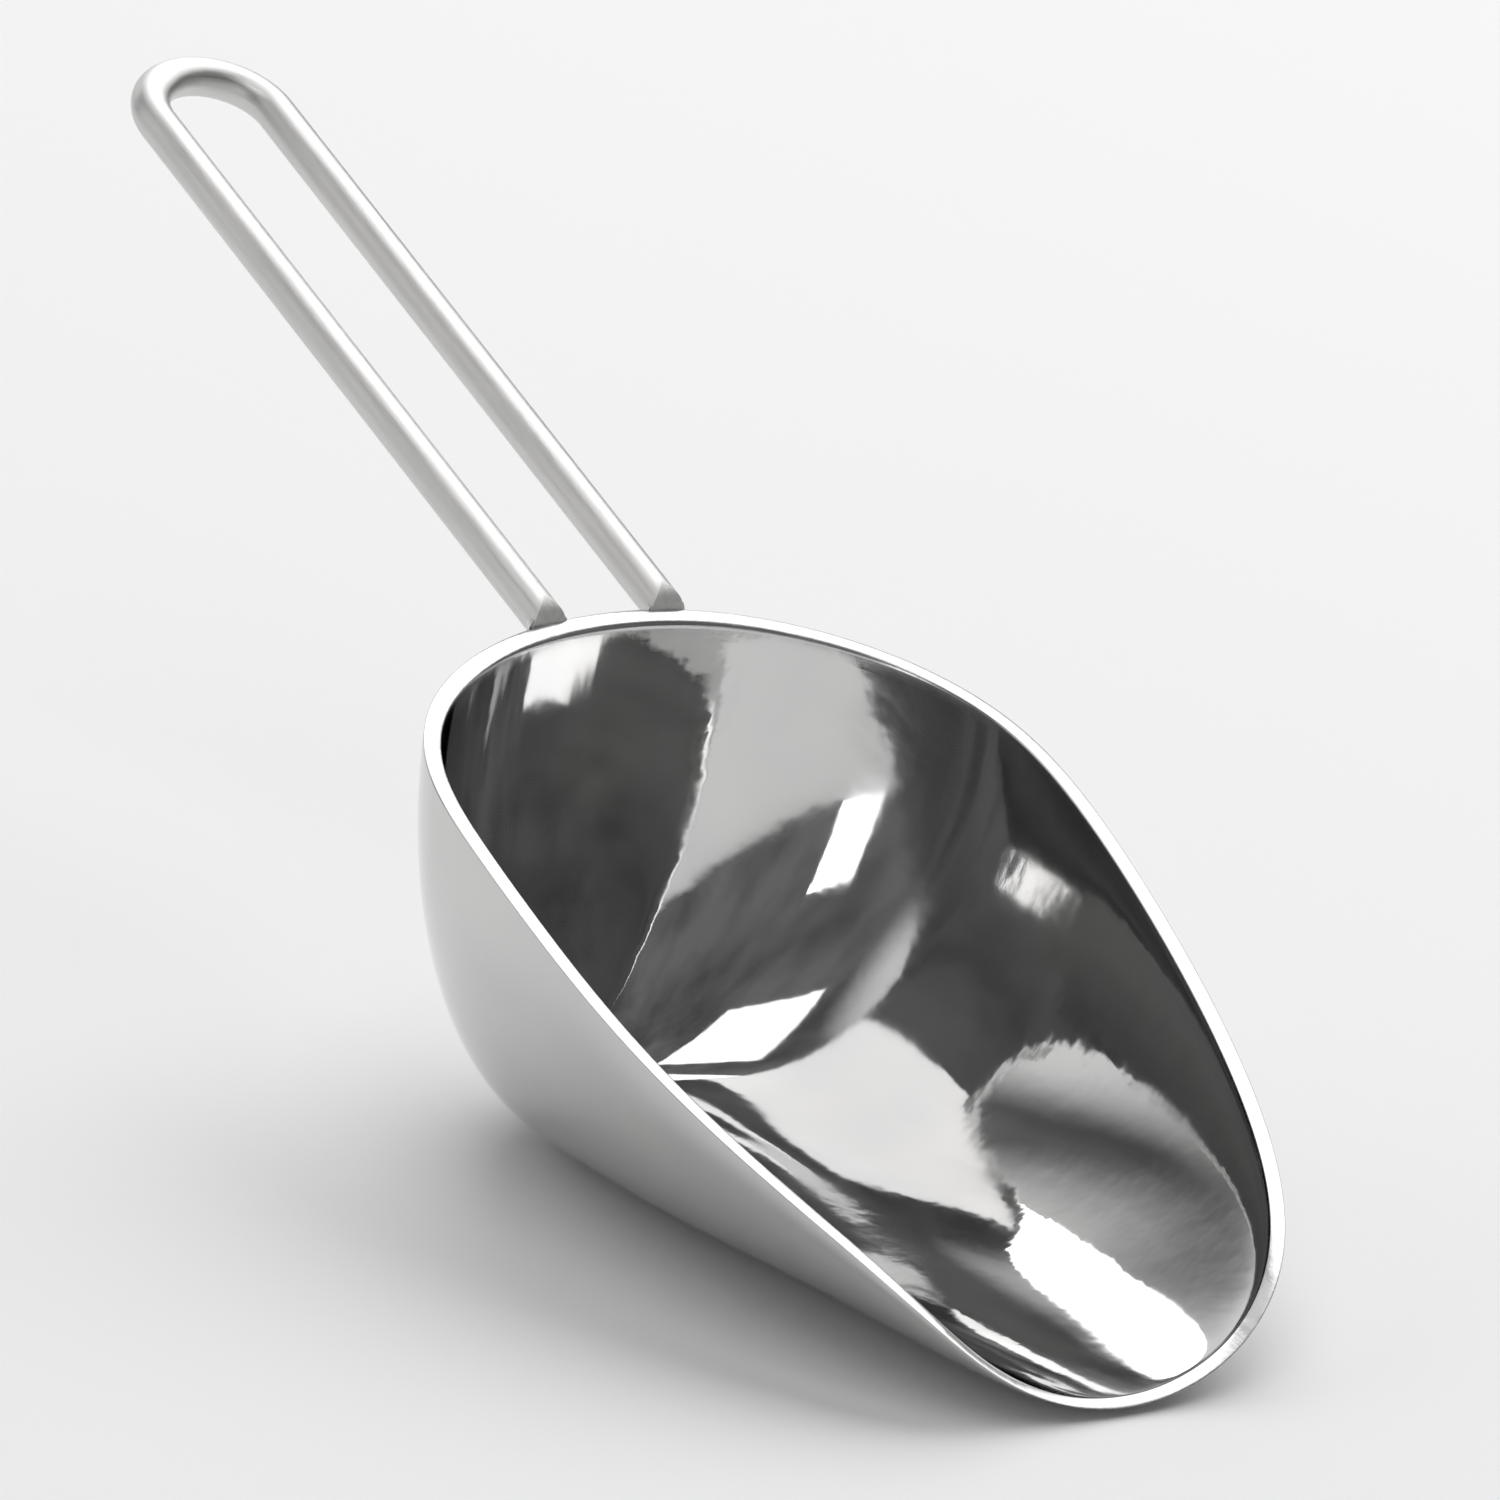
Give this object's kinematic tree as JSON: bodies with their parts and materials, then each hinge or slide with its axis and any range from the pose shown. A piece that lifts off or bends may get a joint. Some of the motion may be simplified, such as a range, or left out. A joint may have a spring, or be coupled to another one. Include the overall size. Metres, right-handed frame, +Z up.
{
  "type": "ice scoop",
  "caption": "Small polished steel ice scoop: deep rounded bowl with a sloping open mouth and a bent wire loop handle welded to its back wall.",
  "frame": {"origin": "on the floor, under the middle of the overall length, on the centre plane", "axes": "+X forward to the tip of the bowl, +Y to the scoop's left, +Z up; the scoop stands on the flat pad in its belly"},
  "size_m": [0.1999, 0.087, 0.0919],
  "materials": {
    "bowl_steel": "mirror polished",
    "wire_steel": "bright polished",
    "weld_steel": "polished weld"
  },
  "bodies": {
    "root": {"bowl": "bowl_steel", "handle_loop": "wire_steel", "weld_left": "weld_steel", "weld_right": "weld_steel"}
  },
  "joints": []
}
